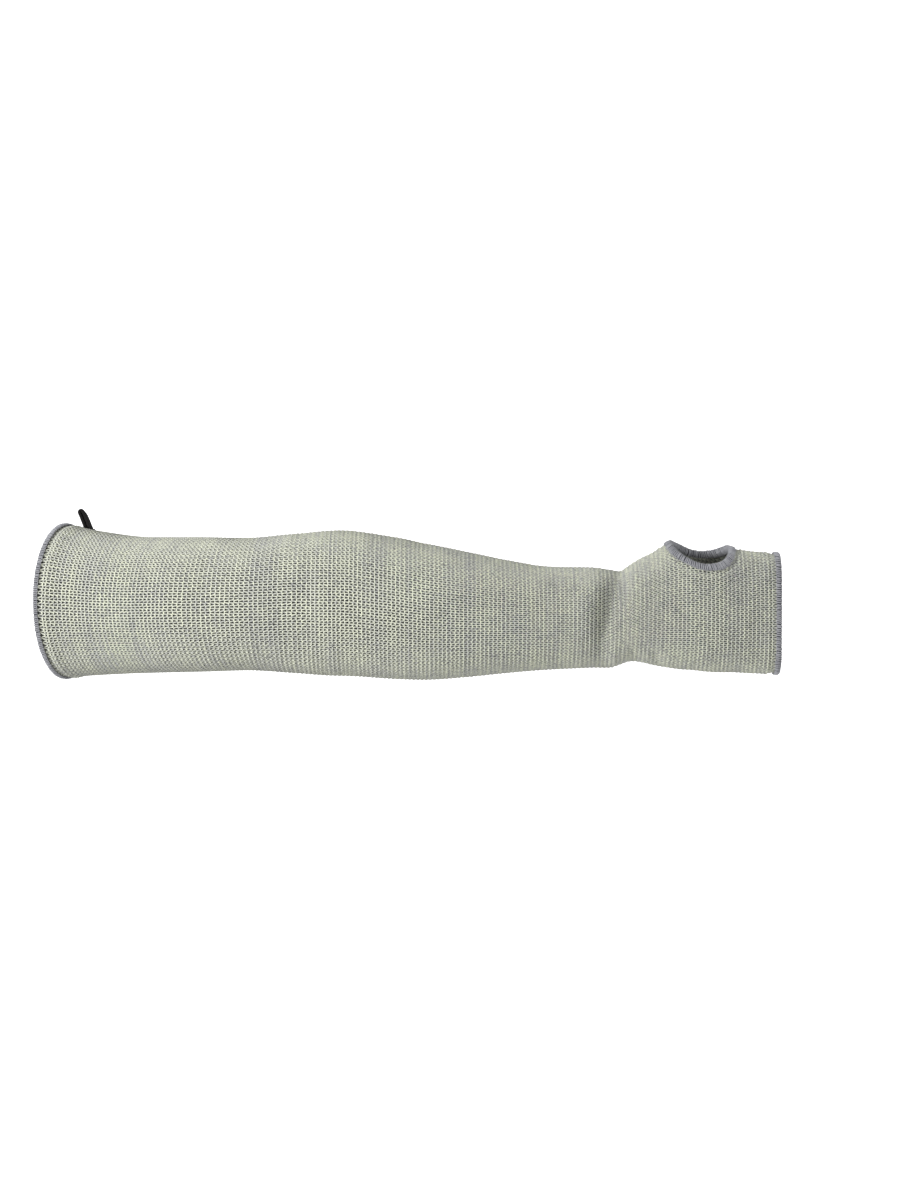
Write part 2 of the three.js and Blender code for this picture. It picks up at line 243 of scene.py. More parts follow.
def gridQuads(rows, columns, closed=(False, False), flipped=False):
    # quads of a grid whose points run along columns first, and each corner's row and column. They face out
    # where rows x columns points out, unless flipped. closed: whether rows, and columns, join end to start
    row = np.arange(rows if closed[0] else rows - 1)[:, None, None] + np.array([0, 1, 1, 0])
    column = np.arange(columns if closed[1] else columns - 1)[None, :, None] + np.array([0, 0, 1, 1])
    order = [0, 3, 2, 1] if flipped else [0, 1, 2, 3]
    row, column = (a.reshape(-1, 4)[:, order] for a in np.broadcast_arrays(row, column))
    return row % rows * columns + column % columns, row, column


def normalsOf(points):
    along = np.gradient(points, axis=0)
    across = np.gradient(points, axis=1)
    normal = np.cross(along, across)
    return normal / np.linalg.norm(normal, axis=2, keepdims=True)


def guideSheet(name, points, u, v, flip=1):
    # a helper surface: threads are laid on it by its UV map "laid" and pushed out along "outwards"
    faces = gridQuads(*points.shape[:2])[0]
    guide = meshOf(name, points, faces.tolist())
    mapOn(guide.data, "laid", np.stack(np.broadcast_arrays(u, v), axis=-1).reshape(-1, 2)[faces.ravel()])
    markOn(guide.data, "outwards", flip * normalsOf(points), "FLOAT_VECTOR")
    return guide


# Node helpers, for geometry and for materials.
class Wire:
    # an output socket that can be reckoned with, each step being a Math node
    def __init__(self, socket):
        self.socket = socket
        self.tree = socket.id_data

    def via(self, operation, *others):
        node = self.tree.nodes.new("ShaderNodeMath")
        node.operation = operation
        for slot, value in zip(node.inputs, (self, *others)):
            plug(slot, value)
        return Wire(node.outputs[0])

    def __add__(self, other):
        return self.via("ADD", other)

    def __sub__(self, other):
        return self.via("SUBTRACT", other)

    def __mul__(self, other):
        return self.via("MULTIPLY", other)

    def __truediv__(self, other):
        return self.via("DIVIDE", other)


def plug(slot, value):
    if isinstance(value, Wire):
        slot.id_data.links.new(value.socket, slot)
    else:
        slot.default_value = value


def put(tree, kind, wires=None, **settings):
    node = tree.nodes.new(kind)
    for name, value in settings.items():
        setattr(node, name, value)
    for name, value in (wires or {}).items():
        free = [s for s in node.inputs if s.enabled]
        plug(free[name] if isinstance(name, int) else next(s for s in free if s.name == name), value)
    return node


def wire(node, name=None):
    return Wire(next(s for s in node.outputs if s.enabled and name in (None, s.name)))


def newTree(name, sockets):
    # sockets: the names of the tree's inputs, by their kind
    tree = bpy.data.node_groups.new(name, "GeometryNodeTree")
    for kind, labels in sockets.items():
        for label in labels:
            tree.interface.new_socket(label, in_out="INPUT", socket_type="NodeSocket" + kind)
    tree.interface.new_socket("Geometry", in_out="OUTPUT", socket_type="NodeSocketGeometry")
    source = tree.nodes.new("NodeGroupInput")
    return tree, {slot.name: Wire(slot) for slot in source.outputs if slot.name}


def storeOn(tree, geometry, name, kind, domain, value):
    node = put(tree, "GeometryNodeStoreNamedAttribute", {"Geometry": geometry, "Name": name, "Value": value},
               data_type=kind, domain=domain)
    return wire(node)


def stored(tree, name, kind="FLOAT"):
    return wire(put(tree, "GeometryNodeInputNamedAttribute", {"Name": name}, data_type=kind))


def vectorOf(tree, x, y, z=0.0):
    return wire(put(tree, "ShaderNodeCombineXYZ", {"X": x, "Y": y, "Z": z}))


def chance(tree, low, high, number, seed):
    # a random number that stays the same for each numbered thread
    return wire(put(tree, "FunctionNodeRandomValue", {"Min": low, "Max": high, "ID": number, "Seed": seed},
                    data_type="FLOAT"))


def numberedLines(tree, count, samples):
    # count lines of samples points: x counts the samples, y the lines
    line = put(tree, "GeometryNodeMeshLine", {"Count": samples, "Offset": (1, 0, 0)})
    rows = put(tree, "GeometryNodeMeshLine", {"Count": count, "Offset": (0, 1, 0)})
    laid = put(tree, "GeometryNodeInstanceOnPoints", {"Points": wire(rows), "Instance": wire(line)})
    lines = wire(put(tree, "GeometryNodeRealizeInstances", {"Geometry": wire(laid)}))
    spot = put(tree, "ShaderNodeSeparateXYZ", {"Vector": wire(put(tree, "GeometryNodeInputPosition"))})
    return lines, wire(spot, "X"), wire(spot, "Y")


def sampled(tree, guide, u, v, value, kind="FLOAT_VECTOR"):
    # what a guide sheet holds at u, v of its map
    laid, spot = stored(tree, "laid", "FLOAT_VECTOR"), vectorOf(tree, u, v)
    node = put(tree, "GeometryNodeSampleUVSurface",
               {"Mesh": guide, "Value": value, "UV Map": laid, "Sample UV": spot}, data_type=kind)
    return wire(node, "Value")


def onGuide(tree, guide, u, v, outward):
    # the place on a guide sheet at u, v, this far out
    place = sampled(tree, guide, u, v, wire(put(tree, "GeometryNodeInputPosition")))
    out = sampled(tree, guide, u, v, stored(tree, "outwards", "FLOAT_VECTOR"))
    push = put(tree, "ShaderNodeVectorMath", {0: out, "Scale": outward}, operation="SCALE")
    return wire(put(tree, "ShaderNodeVectorMath", {0: place, 1: wire(push)}, operation="ADD"))


def roundThreads(tree, lines, sides, radius):
    # tubes along lines, and how far round each tube a corner is, from 0 to 1
    curves = wire(put(tree, "GeometryNodeMeshToCurve", {"Mesh": lines}))
    ring = wire(put(tree, "GeometryNodeCurvePrimitiveCircle", {"Resolution": sides, "Radius": 1.0}))
    share = wire(put(tree, "GeometryNodeInputIndex")) / sides
    ring = storeOn(tree, ring, "roundThread", "FLOAT", "POINT", share)
    tubes = wire(put(tree, "GeometryNodeCurveToMesh",
                     {"Curve": curves, "Profile Curve": ring, "Scale": radius, "Fill Caps": True}))
    here = stored(tree, "roundThread")
    face = wire(put(tree, "GeometryNodeFieldOnDomain", {"Value": here}, data_type="FLOAT", domain="FACE"))
    closing = here.via("LESS_THAN", 0.01) * face.via("GREATER_THAN", 0.15)
    return tubes, here + closing


def inset(value, margin):
    # a share drawn in from both ends, which keeps neighbouring threads apart in the chart
    return value * (1 - 2 * margin) + margin


def finishThreads(tree, tubes, material, helpers):
    smooth = wire(put(tree, "GeometryNodeSetShadeSmooth", {"Geometry": tubes}))
    for name in helpers:
        smooth = wire(put(tree, "GeometryNodeRemoveAttribute", {"Geometry": smooth, "Name": name}))
    real = wire(put(tree, "GeometryNodeRealizeInstances", {"Geometry": smooth}))
    done = wire(put(tree, "GeometryNodeSetMaterial", {"Geometry": real, "Material": material}))
    result = tree.nodes.new("NodeGroupOutput")
    plug(result.inputs["Geometry"], done)


def grow(name, tree, values):
    # runs a tree on an empty mesh and keeps what it makes as a plain mesh; the value yarnRadius goes to the
    # input "Yarn radius", and so on, and values without an input are left out
    piece = placed(name, bpy.data.meshes.new(name))
    modifier = piece.modifiers.new(tree.name, "NODES")
    modifier.node_group = tree
    for item in tree.interface.items_tree:
        if item.in_out == "INPUT":
            words = item.name.title().replace(" ", "")
            modifier[item.identifier] = values[words[0].lower() + words[1:]]
    graph = bpy.context.evaluated_depsgraph_get()
    mesh = bpy.data.meshes.new_from_object(piece.evaluated_get(graph), preserve_all_data_layers=True,
                                           depsgraph=graph)
    piece.modifiers.clear()
    piece.data = mesh
    mesh.name = name
    return piece


# Materials.
def srgb(*levels):
    return (*(((c / 255 + 0.055) / 1.055) ** 2.4 if c > 10 else c / 3295 for c in levels), 1)


def newMaterial(name, roughness, specular, sheen=0.0, sheenRoughness=0.5):
    material = bpy.data.materials.new(name)
    material.use_nodes = True
    shader = material.node_tree.nodes["Principled BSDF"]
    shader.inputs["Roughness"].default_value = roughness
    shader.inputs["Specular IOR Level"].default_value = specular
    shader.inputs["Sheen Weight"].default_value = sheen
    shader.inputs["Sheen Roughness"].default_value = sheenRoughness
    return material, material.node_tree, shader


def objectPlace(tree):
    return wire(put(tree, "ShaderNodeTexCoord"), "Object")


def marked(tree, name, output="Fac"):
    return wire(put(tree, "ShaderNodeAttribute", attribute_name=name), output)


def noise(tree, place, size, detail=2.0, roughness=0.5, offset=(0, 0, 0)):
    moved = put(tree, "ShaderNodeVectorMath", {0: place, 1: offset}, operation="ADD")
    return wire(put(tree, "ShaderNodeTexNoise", {"Vector": wire(moved), "Scale": 1 / size, "Detail": detail,
                                                 "Roughness": roughness}), "Fac")


def between(tree, value, low, high, toLow=0.0, toHigh=1.0):
    return wire(put(tree, "ShaderNodeMapRange", {"Value": value, "From Min": low, "From Max": high,
                                                 "To Min": toLow, "To Max": toHigh}), "Result")


def mixed(tree, share, first, second):
    node = put(tree, "ShaderNodeMix", {"Factor": share, "A": first, "B": second}, data_type="RGBA")
    return wire(node, "Result")


def toned(tree, value, band, first, second):
    # from the first colour to the second as the value crosses the band
    return mixed(tree, between(tree, value, *band), first, second)


def bumped(tree, shader, height, strength, depth):
    node = put(tree, "ShaderNodeBump", {"Height": height, "Strength": strength, "Distance": depth})
    plug(shader.inputs["Normal"], wire(node))


heatherLook = {
    "cream": srgb(236, 239, 216),
    "grey": srgb(190, 191, 193),
    "shade": srgb(130, 132, 124),
    # the loop sides' colour: partly the second ply, partly painted shade between the loop heads
    "under": srgb(150, 152, 145),
    "fleckSize": 0.0016,
    "patchSize": 0.018,
    "fibreSize": 0.00028,
    # how much the twist, the flecks, the patches and each course's own tint turn it grey
    "greyByPly": 0.22,
    "greyByFleck": 2.4,
    "greyByPatch": 0.7,
    "greyByCourse": 0.18,
    "greyness": 0.4,
    "shadedFlecks": (0.44, 0.58),
    "underBand": (0.3, -1.0),  # from a loop's head down to its sides
}


def heatherMaterial():
    # two plies of different colour twisted together, flecked, and paler or greyer in patches; the loops'
    # sides are darker, partly the grey ply and partly painted shade where they lie deep between the heads
    look = heatherLook
    material, tree, shader = newMaterial("heatherYarn", roughness=0.86, specular=0.25, sheen=0.25)
    place = objectPlace(tree)
    twist = marked(tree, "twist")
    ply = (twist * (2 * math.pi)).via("SINE")
    fleck = noise(tree, place, look["fleckSize"], 3.0, 0.7)
    patch = noise(tree, place, look["patchSize"], 2.0, 0.5, (0.3, 0.1, 0.7))
    fibre = noise(tree, place, look["fibreSize"], 1.0, 0.5)
    tint = marked(tree, "courseTint")
    greyness = (ply * look["greyByPly"] + (fleck - 0.5) * look["greyByFleck"]
                + (patch - 0.5) * look["greyByPatch"] + tint * look["greyByCourse"] + look["greyness"])
    base = toned(tree, greyness, (0, 1), look["cream"], look["grey"])
    flecked = toned(tree, fleck - fibre * 0.25, look["shadedFlecks"], base, look["shade"])
    # painted shade: the loops darken from their heads down their sides, together with the grey ply
    head = marked(tree, "loopHead")
    plug(shader.inputs["Base Color"], toned(tree, head, look["underBand"], flecked, look["under"]))
    groove = ply.via("ABSOLUTE").via("POWER", 0.6)
    bumped(tree, shader, groove + fibre * 0.5, 0.6, 0.00012)
    return material


gauge = {"courses": 175, "wales": 80}  # along the sleeve and round it
groundLook = {
    # the outer face's colours: painted shade between the loops
    "colour": srgb(74, 75, 71),
    "deep": srgb(46, 47, 45),
    "inside": srgb(186, 188, 176),
    "insideShade": srgb(104, 106, 99),
    "stitch": 0.0017,
    "chevron": 0.6,  # how far a rib bends the courses, in courses
    "courseDepth": 0.3,
    "ribDepth": 0.6,
    "chartShare": 0.48,  # how much of the chart's height one side of the sheet takes
}


def groundMaterial():
    # the tight under-layer: outside, painted shade that shows dark between the loops; inside, plain knit
    # whose drawn stitches carry painted shade between them
    look = groundLook
    material, tree, shader = newMaterial("knitGround", roughness=0.95, specular=0.1)
    place = objectPlace(tree)
    speck = noise(tree, place, look["stitch"], 2.0, 0.6)
    inner = marked(tree, "innerFace")
    baked = wire(put(tree, "ShaderNodeUVMap", uv_map="OFBake"))
    chart = put(tree, "ShaderNodeSeparateXYZ", {"Vector": baked})
    rib = (wire(chart, "X") * (math.pi * gauge["wales"])).via("SINE").via("ABSOLUTE")
    course = wire(chart, "Y") * (gauge["courses"] / look["chartShare"])
    wave = ((course + rib * look["chevron"]) * (2 * math.pi)).via("SINE")
    stitch = wave * look["courseDepth"] + rib * look["ribDepth"]
    # outside: painted shade, in random specks
    outside = toned(tree, speck, (0.35, 0.65), look["deep"], look["colour"])
    # inside: drawn stitches, with painted shade between the ribs and along the courses
    inside = toned(tree, stitch + speck * 0.6, (0.2, 1), look["insideShade"], look["inside"])
    plug(shader.inputs["Base Color"], mixed(tree, inner, outside, inside))
    bumped(tree, shader, speck + inner * stitch, 0.6, 0.0003)
    return material


threadLook = {
    "light": srgb(186, 187, 192),
    "dark": srgb(132, 133, 139),
    # the core's colours: the thread in painted shade
    "coreLight": srgb(84, 85, 92),
    "coreDark": srgb(52, 52, 58),
    "fibreSize": 0.0004,
    "patch": 0.004,
}


def threadMaterial():
    # soft textured overlock thread: many fine filaments along each thread
    look = threadLook
    material, tree, shader = newMaterial("overlockThread", roughness=0.8, specular=0.3, sheen=0.35,
                                         sheenRoughness=0.4)
    place = objectPlace(tree)
    twist = marked(tree, "twist")
    filament = noise(tree, vectorOf(tree, twist * 6.0, (twist * 2.3).via("SINE")), 1.0, 2.0, 0.6)
    patch = noise(tree, place, look["patch"], 2.0, 0.6)
    fibre = noise(tree, place, look["fibreSize"], 2.0, 0.6)
    shade = filament * 0.5 + patch * 0.5 + fibre * 0.4 - 0.2
    plug(shader.inputs["Base Color"], toned(tree, shade, (0.3, 0.7), look["dark"], look["light"]))
    bumped(tree, shader, filament + fibre, 0.5, 0.00015)
    return material


def threadCoreMaterial():
    # what shows between the wraps: the same thread in shadow
    look = threadLook
    material, tree, shader = newMaterial("overlockDepth", roughness=0.95, specular=0.1)
    place = objectPlace(tree)
    speck = noise(tree, place, look["fibreSize"] * 2, 2.0, 0.6)
    plug(shader.inputs["Base Color"], toned(tree, speck, (0.35, 0.65), look["coreDark"], look["coreLight"]))
    bumped(tree, shader, speck, 0.5, 0.0002)
    return material


tapeLook = {"black": srgb(18, 16, 16), "worn": srgb(38, 34, 32), "rib": 0.0009, "pick": 0.00055,
            "lintSize": 0.0007}


def tapeMaterial():
    # a close woven black tape: ribs across, picks along, a little lint
    look = tapeLook
    material, tree, shader = newMaterial("blackTape", roughness=0.85, specular=0.2, sheen=0.05)
    spot = put(tree, "ShaderNodeSeparateXYZ", {"Vector": marked(tree, "weave", "Vector")})
    along, across = wire(spot, "X"), wire(spot, "Y")
    rib = (along * (2 * math.pi / look["rib"])).via("SINE")
    pick = (across * (2 * math.pi / look["pick"])).via("SINE")
    weave = rib * pick
    lint = noise(tree, objectPlace(tree), look["lintSize"], 3.0, 0.7)
    shade = weave * 0.18 + lint * 0.9
    plug(shader.inputs["Base Color"], toned(tree, shade, (0.45, 0.85), look["black"], look["worn"]))
    bumped(tree, shader, weave + lint * 0.4, 0.7, 0.0002)
    return material


yarnStuff = heatherMaterial()
groundStuff = groundMaterial()
threadStuff = threadMaterial()
coreStuff = threadCoreMaterial()
tapeStuff = tapeMaterial()
print("materials ready")

# The knit: reverse side out, so each course shows as a wavy ridge of loop heads round the sleeve.
knit = {
    "samples": 6,
    "sides": 4,
    "startInset": 0.0025,
    "yarnRadius": 0.00064,
    "drawn": 0.70,  # how thick a loop's sides are beside its head
    "girth": 0.305,  # where the yarn has its full thickness
    "thinning": 1.25,  # how far the loops' sides are drawn thinner where the sleeve is narrower
    "headThinning": 0.75,  # how much of that reaches the heads
    "loopHeight": 1.115,  # in courses: the six samples' heads reach 0.866 of it, into the next ridge
    "loopBulge": 0.10,  # in wales
    "loopDepth": 0.00058,
    "base": -0.00076,  # the loops' middle, from the outer face
    "wander": 0.22,  # uneven knitting, in courses and wales
    "thickness": 0.14,
    "twists": 3.0,  # for each wale
    "clearOfThumb": 0.0012,
    "seed": 7,
    "guideRows": 400,
    "guideColumns": 230,
    "overEnd": 0.004,  # the guide runs on past its ends by these shares of the length and of a turn
    "overTurn": 0.02,
}
zones = ("knit_upper_arm", "knit_elbow", "knit_forearm", "knit_wrist", "knit_palm")


def stationAt(share):
    return knit["startInset"] + share * (form["length"] - 2 * knit["startInset"])


# Beside a tight edge the fabric dips at the stitching, then swells: distances from the edge, and how far.
puffs = {
    "arm": {"dipAt": 0.0052, "dip": 0.0014, "swellAt": 0.0092, "swell": 0.0009, "width": 0.0036},
    "finger": {"dipAt": 0.0058, "dip": 0.0009, "swellAt": 0.0092, "swell": 0.0005, "width": 0.0030},
    "thumb": {"dipAt": 0.0050, "dip": 0.0005, "swellAt": 0.0082, "swell": 0.0005, "width": 0.0025},
}


def puffAt(station, fromThumb):
    total = 0
    distances = {"arm": station, "finger": form["length"] - station, "thumb": fromThumb}
    for which, puff in puffs.items():
        swell = np.exp(-(((distances[which] - puff["swellAt"]) / puff["width"]) ** 2))
        dip = np.exp(-(((distances[which] - puff["dipAt"]) / (puff["width"] * 0.4)) ** 2))
        total = total + puff["swell"] * swell - puff["dip"] * dip
    return total


def evenAngles(stations, shares):
    # the angles that part each section's outline into equal lengths, from the bottom by the back to the
    # bottom again, and how far each lies from the top
    every = np.linspace(-math.pi, math.pi, 1441)
    arcs = arcsFromTop(stations, every)
    wanted = arcs[:, :1] + (arcs[:, -1:] - arcs[:, :1]) * (shares % 1)[None, :]
    angles = np.stack([np.interp(row, table, every) for row, table in zip(wanted, arcs)])
    return angles, wanted


def knitGuide():
    # the worn fabric with its swellings; it also holds how far the thumb hole is, and how full the yarn is,
    # which is less where the sleeve is narrower
    shares = np.linspace(-knit["overEnd"], 1 + knit["overEnd"], knit["guideRows"])
    turns = np.linspace(-knit["overTurn"], 1 + knit["overTurn"], knit["guideColumns"])
    stations = stationAt(shares)
    angles, arcs = evenAngles(stations, turns)
    fromThumb = fromThumbHole(stations[:, None], arcs)
    points = skin(stations[:, None], angles, puffAt(stations[:, None], fromThumb))
    guide = guideSheet("knitGuide", points, turns[None, :], shares[:, None], -1)
    outline = arcsFromTop(stations, np.linspace(-math.pi, math.pi, 361))
    fullness = np.clip((outline[:, -1] - outline[:, 0]) / knit["girth"], 0, 1) ** knit["thinning"]
    markOn(guide.data, "fromThumb", fromThumb)
    markOn(guide.data, "fullness", np.repeat(fullness, len(turns)))
    return guide


def knitTree():
    tree, given = newTree("knitCourses", {
        "Object": ["Guide"],
        "Material": ["Material"],
        "Int": ["First course", "Courses", "All courses", "Wales", "Samples", "Sides", "Seed"],
        "Float": ["Yarn radius", "Loop height", "Loop bulge", "Loop depth", "Base", "Wander", "Thickness",
                  "Drawn", "Head thinning", "Twists", "Clear of thumb"],
    })
    guide = wire(put(tree, "GeometryNodeObjectInfo", {"Object": given["Guide"]}), "Geometry")
    perCourse = given["Wales"] * given["Samples"]
    lines, sample, row = numberedLines(tree, given["Courses"], perCourse + 1)
    wale, course = (sample + 0.5) / given["Samples"], row + given["First course"]
    turn = wale * (2 * math.pi)
    uneven = put(tree, "ShaderNodeTexNoise", {
        "Vector": vectorOf(tree, wale * 0.21, course * 0.24, given["Seed"]), "Scale": 1.0, "Detail": 2.0})
    drift = put(tree, "ShaderNodeSeparateXYZ", {"Vector": wire(uneven, "Color")})
    aside, ahead = ((wire(drift, axis) - 0.5) * given["Wander"] for axis in "XY")
    around = wale + (turn * 2).via("SINE") * given["Loop bulge"] + aside
    along = course + 0.5 + turn.via("COSINE") * given["Loop height"] + ahead
    head = (turn * 2).via("COSINE")
    u, v = around / given["Wales"], along / given["All courses"]
    fromThumb = sampled(tree, guide, u, v, stored(tree, "fromThumb"), "FLOAT")
    fullness = sampled(tree, guide, u, v, stored(tree, "fullness"), "FLOAT")
    marks = {"sampleNumber": sample, "rowNumber": row, "fromHole": fromThumb, "loopHead": head,
             "yarnFullness": fullness}
    for name, value in marks.items():
        lines = storeOn(tree, lines, name, "FLOAT", "POINT", value)
    place = onGuide(tree, guide, u, v, head * given["Loop depth"] + given["Base"])
    laid = wire(put(tree, "GeometryNodeSetPosition", {"Geometry": lines, "Position": place}))
    inHole = stored(tree, "fromHole").via("LESS_THAN", given["Clear of thumb"])
    kept = wire(put(tree, "GeometryNodeDeleteGeometry", {"Geometry": laid, "Selection": inHole},
                    domain="POINT"))
    number, rowNumber = stored(tree, "sampleNumber"), stored(tree, "rowNumber")
    thick = wire(put(tree, "ShaderNodeTexNoise", {
        "Vector": vectorOf(tree, number * 0.35, (rowNumber + given["First course"]) * 1.7, 3.0),
        "Scale": 1.0, "Detail": 1.0}))
    atHead = between(tree, stored(tree, "loopHead"), -1.0, 0.5)
    drawn = stored(tree, "yarnFullness") * given["Drawn"]
    lofty = (stored(tree, "yarnFullness") - 1.0) * given["Head thinning"] + 1.0
    radius = given["Yarn radius"] * ((thick - 0.5) * 2.0 * given["Thickness"] + 1.0)
    radius = radius * (drawn + (lofty - drawn) * atHead)
    tubes, share = roundThreads(tree, kept, given["Sides"], radius)
    chart = vectorOf(tree, number / perCourse, (rowNumber + inset(share, 0.03)) / given["Courses"])
    tubes = storeOn(tree, tubes, "OFBake", "FLOAT2", "CORNER", chart)
    start = chance(tree, 0.0, 1.0, rowNumber + given["First course"], given["Seed"])
    tint = chance(tree, -1.0, 1.0, rowNumber + given["First course"], given["Seed"] + 1)
    tubes = storeOn(tree, tubes, "courseTint", "FLOAT", "POINT", tint)
    twist = number / given["Samples"] * given["Twists"] + share + start
    tubes = storeOn(tree, tubes, "twist", "FLOAT", "CORNER", twist)
    finishThreads(tree, tubes, given["Material"], ["sampleNumber", "rowNumber", "fromHole", "roundThread",
                                                    "yarnFullness"])
    return tree


def makeKnit():
    guide = knitGuide()
    tree = knitTree()
    courses = gauge["courses"] // len(zones)
    shared = {**knit, "guide": guide, "material": yarnStuff, "courses": courses,
              "allCourses": gauge["courses"], "wales": gauge["wales"]}
    pieces = [grow(name, tree, {**shared, "firstCourse": i * courses}) for i, name in enumerate(zones)]
    bpy.data.objects.remove(guide)
    return pieces


yarnPieces = makeKnit()
print("knit made:", sum(len(p.data.polygons) for p in yarnPieces), "faces")

# The ground: one thin sheet in the middle of the wall, which closes the gaps between the loops; its outer
# face is painted dark as the shade seen between them.
ground = {"outer": -0.00145, "inner": -0.00175, "rows": 240, "columns": 112, "inset": 0.0021}


def makeGround():
    rows, columns = ground["rows"], ground["columns"]
    stations = np.linspace(ground["inset"], form["length"] - ground["inset"], rows)
    angles, arcs = evenAngles(stations, np.arange(columns) / columns)
    fromThumb = fromThumbHole(stations[:, None], arcs)
    puff = puffAt(stations[:, None], fromThumb)
    layers = [skin(stations[:, None], angles, puff + ground[side]) for side in ("outer", "inner")]
    quads, row, column = gridQuads(rows, columns, (False, True), flipped=True)
    kept = fromThumb.ravel()[quads].min(axis=-1) > knit["clearOfThumb"]
    outerFaces, u, v = quads[kept], column[kept] / columns, row[kept] / (rows - 1)
    size = rows * columns
    innerFaces = outerFaces[:, ::-1] + size
    sides = {(a, b) for face in outerFaces.tolist() for a, b in zip(face, face[1:] + face[:1])}
    rims = [(b, a, a + size, b + size) for a, b in sorted(sides) if (b, a) not in sides]
    rimUv = [((0.1, 0.49), (0.11, 0.49), (0.11, 0.51), (0.1, 0.51))] * len(rims)
    faces = np.concatenate([outerFaces, innerFaces, np.array(rims)])
    share = groundLook["chartShare"]
    outerUv = np.stack([u, v * share], axis=-1)
    innerUv = np.stack([u[:, ::-1], 1 - share + v[:, ::-1] * share], axis=-1)
    uv = np.concatenate([outerUv, innerUv, np.array(rimUv)])
    used, renumbered = np.unique(faces, return_inverse=True)
    points = np.concatenate([layer.reshape(-1, 3) for layer in layers])[used]
    piece = meshOf("knit_ground", points, renumbered.reshape(faces.shape).tolist(), uv)
    markOn(piece.data, "innerFace", used >= size)
    piece.data.materials.append(groundStuff)
    return piece


knitGround = makeGround()
print("ground made")

# Overlocked edges: a core round the cut edge, painted dark as the shade between the wraps, thick wraps over
# it and a line of needle stitches.
edges = {
    "arm": {"reach": 0.004, "gap": 0.0004, "wraps": 240, "slant": 0.7, "needleAt": 0.085},
    "finger": {"reach": 0.0048, "gap": 0.0004, "wraps": 142, "slant": 0.7, "needleAt": 0.085},
    "thumb": {"reach": 0.0056, "gap": 0.00065, "wraps": 111, "slant": 0.6, "needleAt": 0.08},
}
wrapLook = {
    "samples": 11,
    "sides": 5,
    "bindingThick": 0.0008,
    "middleRadius": 0.0004,
    "endRadius": 0.00058,
    "stepJitter": 0.35,
    "reachJitter": 0.055,
    "sink": 0.0011,  # how deep the leaf's end is drawn into the fabric, and over what share of it
    "sinkShare": 0.45,
    "liftJitter": 0.00026,
    "coreDepth": 0.00034,
    "coreThick": 0.0003,
    "arch": 0.0,
    "seed": 11,
    "bakeColumns": 4,
    "guideTurns": 170,
    "overTurn": 0.03,
    "coreTurns": 160,
}
needleLook = {
    "samples": 5,
    "middleRadius": 0.00024,
    "endRadius": 0.00024,
    "stepJitter": 0.0,
    "reachJitter": 0.0,
    "arch": 0.00042,
    "slant": 0.86,
    "wrapsEach": 2,
}


def edgePath(edge, inside):
    # how far in and out a thread's middle lies, from the outer leaf's end round the rim to the inner leaf's
    cap = edge["gap"] + wrapLook["bindingThick"]
    half = form["wall"] / 2 + cap - inside
    leaf = np.linspace(0, 1, 9)
    sink = wrapLook["sink"] * np.clip(1 - leaf / wrapLook["sinkShare"], 0, 1) ** 2
    outerIn = edge["reach"] + (cap - edge["reach"]) * leaf
    outerOut = half - form["wall"] / 2 - sink
    bend = np.linspace(0, math.pi, 13)[1:-1]
    rimIn = inside + (cap - inside) * (1 - np.sin(bend))
    rimOut = half * np.cos(bend) - form["wall"] / 2
    inward = np.concatenate([outerIn, rimIn, outerIn[::-1]])
    outward = np.concatenate([outerOut, rimOut, -form["wall"] - outerOut[::-1]])
    return inward, outward


def onEdge(which, shares, inward, outward):
    # places on an edge: shares of the way round it, then inward and outward of the fabric's edge
    edge = edges[which]
    if which == "thumb":
        wider = inward - edge["gap"] - wrapLook["bindingThick"]
        return thumbOval(shares[:, None] * 2 * math.pi, wider[None, :], outward[None, :])
    atFingers = which == "finger"
    end = np.array([form["length"] if atFingers else 0.0])
    angles = evenAngles(end, shares)[0][0]
    stations = form["length"] - inward if atFingers else inward
    return skin(stations[None, :], angles[:, None], outward[None, :])


def edgeGuide(which):
    turns = np.linspace(-wrapLook["overTurn"], 1 + wrapLook["overTurn"], wrapLook["guideTurns"])
    inward, outward = edgePath(edges[which], wrapLook["middleRadius"])
    steps = np.hypot(np.diff(inward), np.diff(outward))
    shares = np.concatenate([[0], np.cumsum(steps)]) / steps.sum()
    points = onEdge(which, turns, inward, outward)
    inside = points.mean(axis=1, keepdims=True)
    flip = np.sign(np.median(np.sum(normalsOf(points) * (points - inside), axis=2)))
    return guideSheet(which + "Guide", points, turns[:, None], shares[None, :], flip)


def edgeCore(which):
    # a closed channel under the wraps, painted as the shade between them
    turns = np.arange(wrapLook["coreTurns"]) / wrapLook["coreTurns"]
    edge = edges[which]
    depth = wrapLook["middleRadius"] + wrapLook["coreDepth"]
    inward, outward = edgePath(edge, depth)
    innerIn, innerOut = edgePath(edge, depth + wrapLook["coreThick"])
    keep = slice(2, -2)
    loopIn = np.concatenate([inward[keep], innerIn[keep][::-1]])
    loopOut = np.concatenate([outward[keep], innerOut[keep][::-1]])
    points = onEdge(which, turns, loopIn, loopOut)
    rows, columns = points.shape[:2]
    faces, row, column = gridQuads(rows, columns, (True, True))
    uv = np.stack([row / rows, column / columns], axis=-1)
    piece = meshOf(which + "_edge_core", points, faces.tolist(), uv)
    fixNormals(piece)
    piece.data.materials.append(coreStuff)
    return piece


def fixNormals(piece):
    work = bmesh.new()
    work.from_mesh(piece.data)
    bmesh.ops.recalc_face_normals(work, faces=work.faces)
    work.to_mesh(piece.data)
    work.free()


